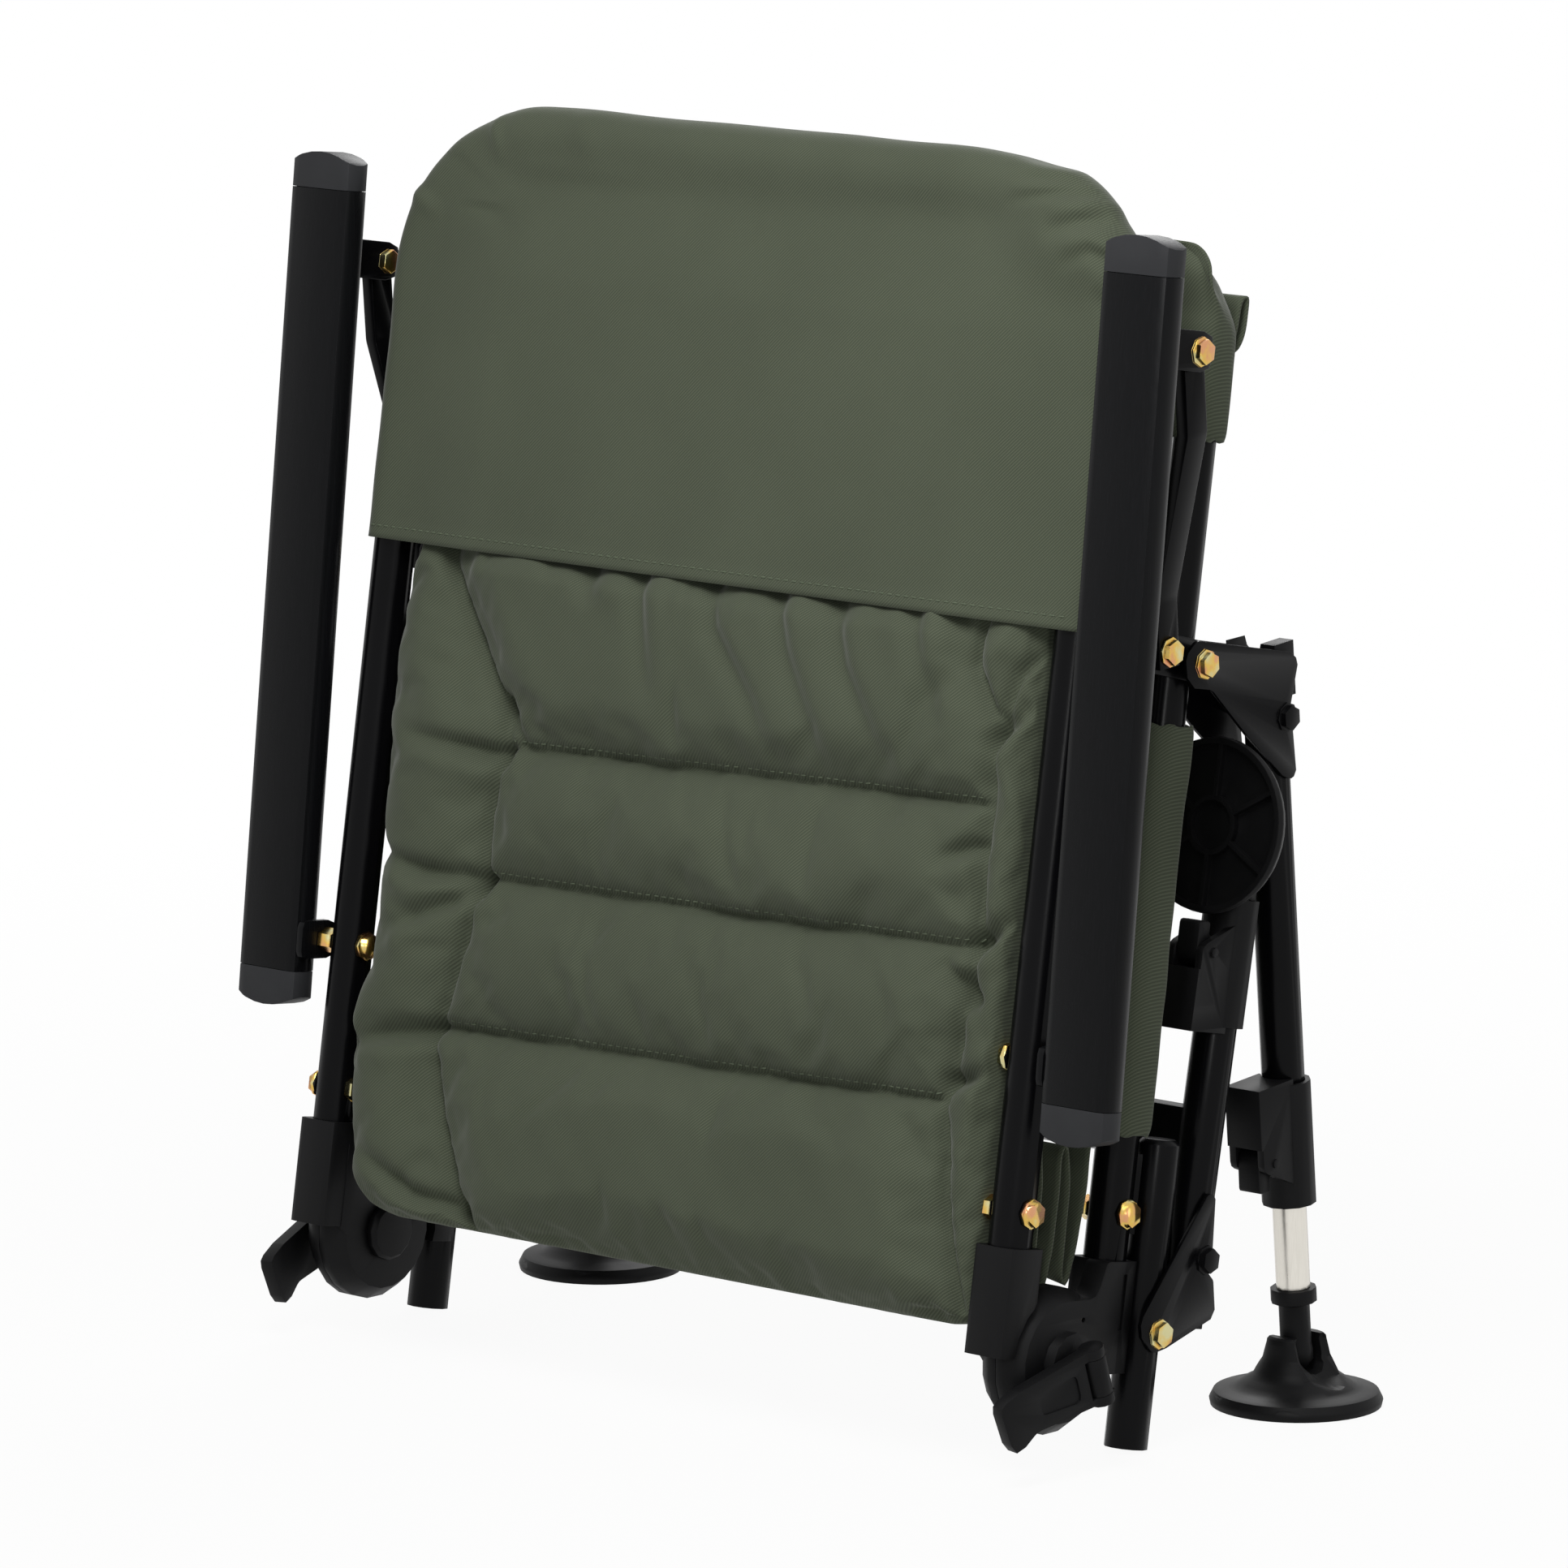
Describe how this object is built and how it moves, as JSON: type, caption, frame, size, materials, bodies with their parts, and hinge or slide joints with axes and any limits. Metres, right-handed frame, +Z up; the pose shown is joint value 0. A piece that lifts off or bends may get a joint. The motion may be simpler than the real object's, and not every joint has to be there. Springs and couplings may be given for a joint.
{
  "type": "folding fishing chair",
  "caption": "Folding fishing chair with a reclining padded back, linked armrests and sliding legs on swivelling mud feet, folded flat and standing as an easel.",
  "frame": {"origin": "on the floor, below the middle of the folded chair's bounding box", "axes": "+X towards the sitter's left, across the chair; +Y towards the back, the side the mud feet stand on; +Z up"},
  "size_m": [0.586, 0.2914, 0.6417],
  "materials": {
    "black_enamel": "gloss",
    "satin_armrest": "satin",
    "moulded_plastic": "matte",
    "end_cap_plastic": "matte",
    "bare_aluminium": "satin",
    "olive_cloth": "woven"
  },
  "bodies": {
    "seat": {"seat_frame_tube": "black_enamel", "rear_stub_left": "black_enamel", "rear_stub_right": "black_enamel", "seat_hinge_housing_left": "moulded_plastic", "seat_hinge_housing_right": "moulded_plastic", "hinge_axle_left": "moulded_plastic", "hinge_axle_right": "moulded_plastic", "strut_anchor_plate_left": "black_enamel", "strut_anchor_plate_right": "black_enamel", "seat_sling": "olive_cloth", "seat_cushion": "olive_cloth"},
    "backrest": {"backrest_frame_tube": "black_enamel", "back_hinge_housing_left": "moulded_plastic", "back_hinge_housing_right": "moulded_plastic", "backrest_cushion": "olive_cloth", "backrest_hood": "olive_cloth"},
    "armrest_left": {"armrest_tube_left": "satin_armrest", "armrest_front_cap_left": "end_cap_plastic", "armrest_rear_cap_left": "end_cap_plastic", "armrest_bracket_left": "black_enamel"},
    "armrest_strut_left": {"armrest_strut_left": "black_enamel"},
    "recline_lever_left": {"recline_lever_left": "moulded_plastic"},
    "armrest_right": {"armrest_tube_right": "satin_armrest", "armrest_front_cap_right": "end_cap_plastic", "armrest_rear_cap_right": "end_cap_plastic", "armrest_bracket_right": "black_enamel"},
    "armrest_strut_right": {"armrest_strut_right": "black_enamel"},
    "recline_lever_right": {"recline_lever_right": "moulded_plastic"},
    "front_legs": {"front_leg_frame": "black_enamel", "front_leg_bracket_left": "black_enamel", "front_leg_bracket_right": "black_enamel", "front_leg_clip_left": "moulded_plastic", "front_leg_clip_right": "moulded_plastic", "front_leg_clamp_left": "moulded_plastic", "front_leg_clamp_right": "moulded_plastic"},
    "front_inner_leg_left": {"front_inner_leg_left": "bare_aluminium", "front_foot_socket_left": "moulded_plastic"},
    "front_foot_left": {"front_foot_base_left": "moulded_plastic"},
    "front_clamp_lever_left": {"front_clamp_lever_left": "moulded_plastic"},
    "front_inner_leg_right": {"front_inner_leg_right": "bare_aluminium", "front_foot_socket_right": "moulded_plastic"},
    "front_foot_right": {"front_foot_base_right": "moulded_plastic"},
    "front_clamp_lever_right": {"front_clamp_lever_right": "moulded_plastic"},
    "rear_legs": {"rear_leg_frame": "black_enamel", "rear_leg_bracket_left": "black_enamel", "rear_leg_bracket_right": "black_enamel", "rear_leg_clip_left": "moulded_plastic", "rear_leg_clip_right": "moulded_plastic", "rear_leg_clamp_left": "moulded_plastic", "rear_leg_clamp_right": "moulded_plastic"},
    "rear_inner_leg_left": {"rear_inner_leg_left": "bare_aluminium", "rear_foot_socket_left": "moulded_plastic"},
    "rear_foot_left": {"rear_foot_base_left": "moulded_plastic"},
    "rear_clamp_lever_left": {"rear_clamp_lever_left": "moulded_plastic"},
    "rear_inner_leg_right": {"rear_inner_leg_right": "bare_aluminium", "rear_foot_socket_right": "moulded_plastic"},
    "rear_foot_right": {"rear_foot_base_right": "moulded_plastic"},
    "rear_clamp_lever_right": {"rear_clamp_lever_right": "moulded_plastic"}
  },
  "joints": [
    {"name": "recline", "type": "hinge", "parent": "seat", "child": "backrest", "pos_m": [0, -0.08808, 0.05484], "axis": [1, 0, 0], "range_deg": [0, 135]},
    {"name": "armrest_swing_left", "type": "hinge", "parent": "backrest", "child": "armrest_left", "pos_m": [0.245, -0.09958, 0.20672], "axis": [1, 0, 0], "range_deg": [-135, 0]},
    {"name": "strut_swing_left", "type": "hinge", "parent": "seat", "child": "armrest_strut_left", "pos_m": [0.2484, -0.02092, 0.40154], "axis": [1, 0, 0], "range_deg": [0, 135]},
    {"name": "lever_pull_left", "type": "hinge", "parent": "seat", "child": "recline_lever_left", "pos_m": [0.259, -0.08265, 0.05091], "axis": [0, -0.3117, 0.9502], "range_deg": [0, 30], "stiffness_Nm_per_rad": 0.3, "springref_deg": -20.05},
    {"name": "armrest_swing_right", "type": "hinge", "parent": "backrest", "child": "armrest_right", "pos_m": [-0.245, -0.09958, 0.20672], "axis": [1, 0, 0], "range_deg": [-135, 0]},
    {"name": "strut_swing_right", "type": "hinge", "parent": "seat", "child": "armrest_strut_right", "pos_m": [-0.2484, -0.02092, 0.40154], "axis": [1, 0, 0], "range_deg": [0, 135]},
    {"name": "lever_pull_right", "type": "hinge", "parent": "seat", "child": "recline_lever_right", "pos_m": [-0.259, -0.08265, 0.05091], "axis": [0, 0.3117, -0.9502], "range_deg": [0, 30], "stiffness_Nm_per_rad": 0.3, "springref_deg": -20.05},
    {"name": "front_leg_fold", "type": "hinge", "parent": "seat", "child": "front_legs", "pos_m": [0, 0.0079, 0.39193], "axis": [1, 0, 0], "range_deg": [0, 77]},
    {"name": "front_leg_slide_left", "type": "slide", "parent": "front_legs", "child": "front_inner_leg_left", "axis": [0, 0.0882, -0.9961], "range_m": [-0.043, 0.09]},
    {"name": "front_foot_tilt_left", "type": "hinge", "parent": "front_inner_leg_left", "child": "front_foot_left", "pos_m": [0.238, 0.10154, 0.026], "axis": [0, 1, 0], "range_deg": [-20, 20]},
    {"name": "front_clamp_release_left", "type": "hinge", "parent": "front_legs", "child": "front_clamp_lever_left", "pos_m": [0.238, 0.06949, 0.13055], "axis": [-1, 0, 0], "range_deg": [0, 80]},
    {"name": "front_leg_slide_right", "type": "slide", "parent": "front_legs", "child": "front_inner_leg_right", "axis": [0, 0.0882, -0.9961], "range_m": [-0.043, 0.09]},
    {"name": "front_foot_tilt_right", "type": "hinge", "parent": "front_inner_leg_right", "child": "front_foot_right", "pos_m": [-0.238, 0.10154, 0.026], "axis": [0, -1, 0], "range_deg": [-20, 20]},
    {"name": "front_clamp_release_right", "type": "hinge", "parent": "front_legs", "child": "front_clamp_lever_right", "pos_m": [-0.238, 0.06949, 0.13055], "axis": [-1, 0, 0], "range_deg": [0, 80]},
    {"name": "rear_leg_fold", "type": "hinge", "parent": "seat", "child": "rear_legs", "pos_m": [0, -0.02485, 0.05974], "axis": [1, 0, 0], "range_deg": [-81, 0]},
    {"name": "rear_leg_slide_left", "type": "slide", "parent": "rear_legs", "child": "rear_inner_leg_left", "axis": [0, 0.1966, 0.9805], "range_m": [0, 0.095]},
    {"name": "rear_foot_tilt_left", "type": "hinge", "parent": "rear_inner_leg_left", "child": "rear_foot_left", "pos_m": [0.238, 0.05379, 0.30232], "axis": [1, 0, 0], "range_deg": [-90, 0]},
    {"name": "rear_clamp_release_left", "type": "hinge", "parent": "rear_legs", "child": "rear_clamp_lever_left", "pos_m": [0.238, 0.01924, 0.2455], "axis": [1, 0, 0], "range_deg": [0, 80]},
    {"name": "rear_leg_slide_right", "type": "slide", "parent": "rear_legs", "child": "rear_inner_leg_right", "axis": [0, 0.1966, 0.9805], "range_m": [0, 0.095]},
    {"name": "rear_foot_tilt_right", "type": "hinge", "parent": "rear_inner_leg_right", "child": "rear_foot_right", "pos_m": [-0.238, 0.05379, 0.30232], "axis": [1, 0, 0], "range_deg": [-90, 0]},
    {"name": "rear_clamp_release_right", "type": "hinge", "parent": "rear_legs", "child": "rear_clamp_lever_right", "pos_m": [-0.238, 0.01924, 0.2455], "axis": [1, 0, 0], "range_deg": [0, 80]}
  ],
  "couplings": [
    {"joint": "armrest_swing_left", "follows": "recline", "ratio": -1},
    {"joint": "strut_swing_left", "follows": "recline", "ratio": 1},
    {"joint": "armrest_swing_right", "follows": "recline", "ratio": -1},
    {"joint": "strut_swing_right", "follows": "recline", "ratio": 1},
    {"joint": "rear_leg_fold", "follows": "front_leg_fold", "ratio": -0.35},
    {"joint": "rear_leg_slide_left", "follows": "front_leg_fold", "m_per_rad": 0.008},
    {"joint": "rear_foot_tilt_left", "follows": "front_leg_fold", "ratio": -0.2},
    {"joint": "rear_leg_slide_right", "follows": "front_leg_fold", "m_per_rad": 0.008},
    {"joint": "rear_foot_tilt_right", "follows": "front_leg_fold", "ratio": -0.2}
  ]
}
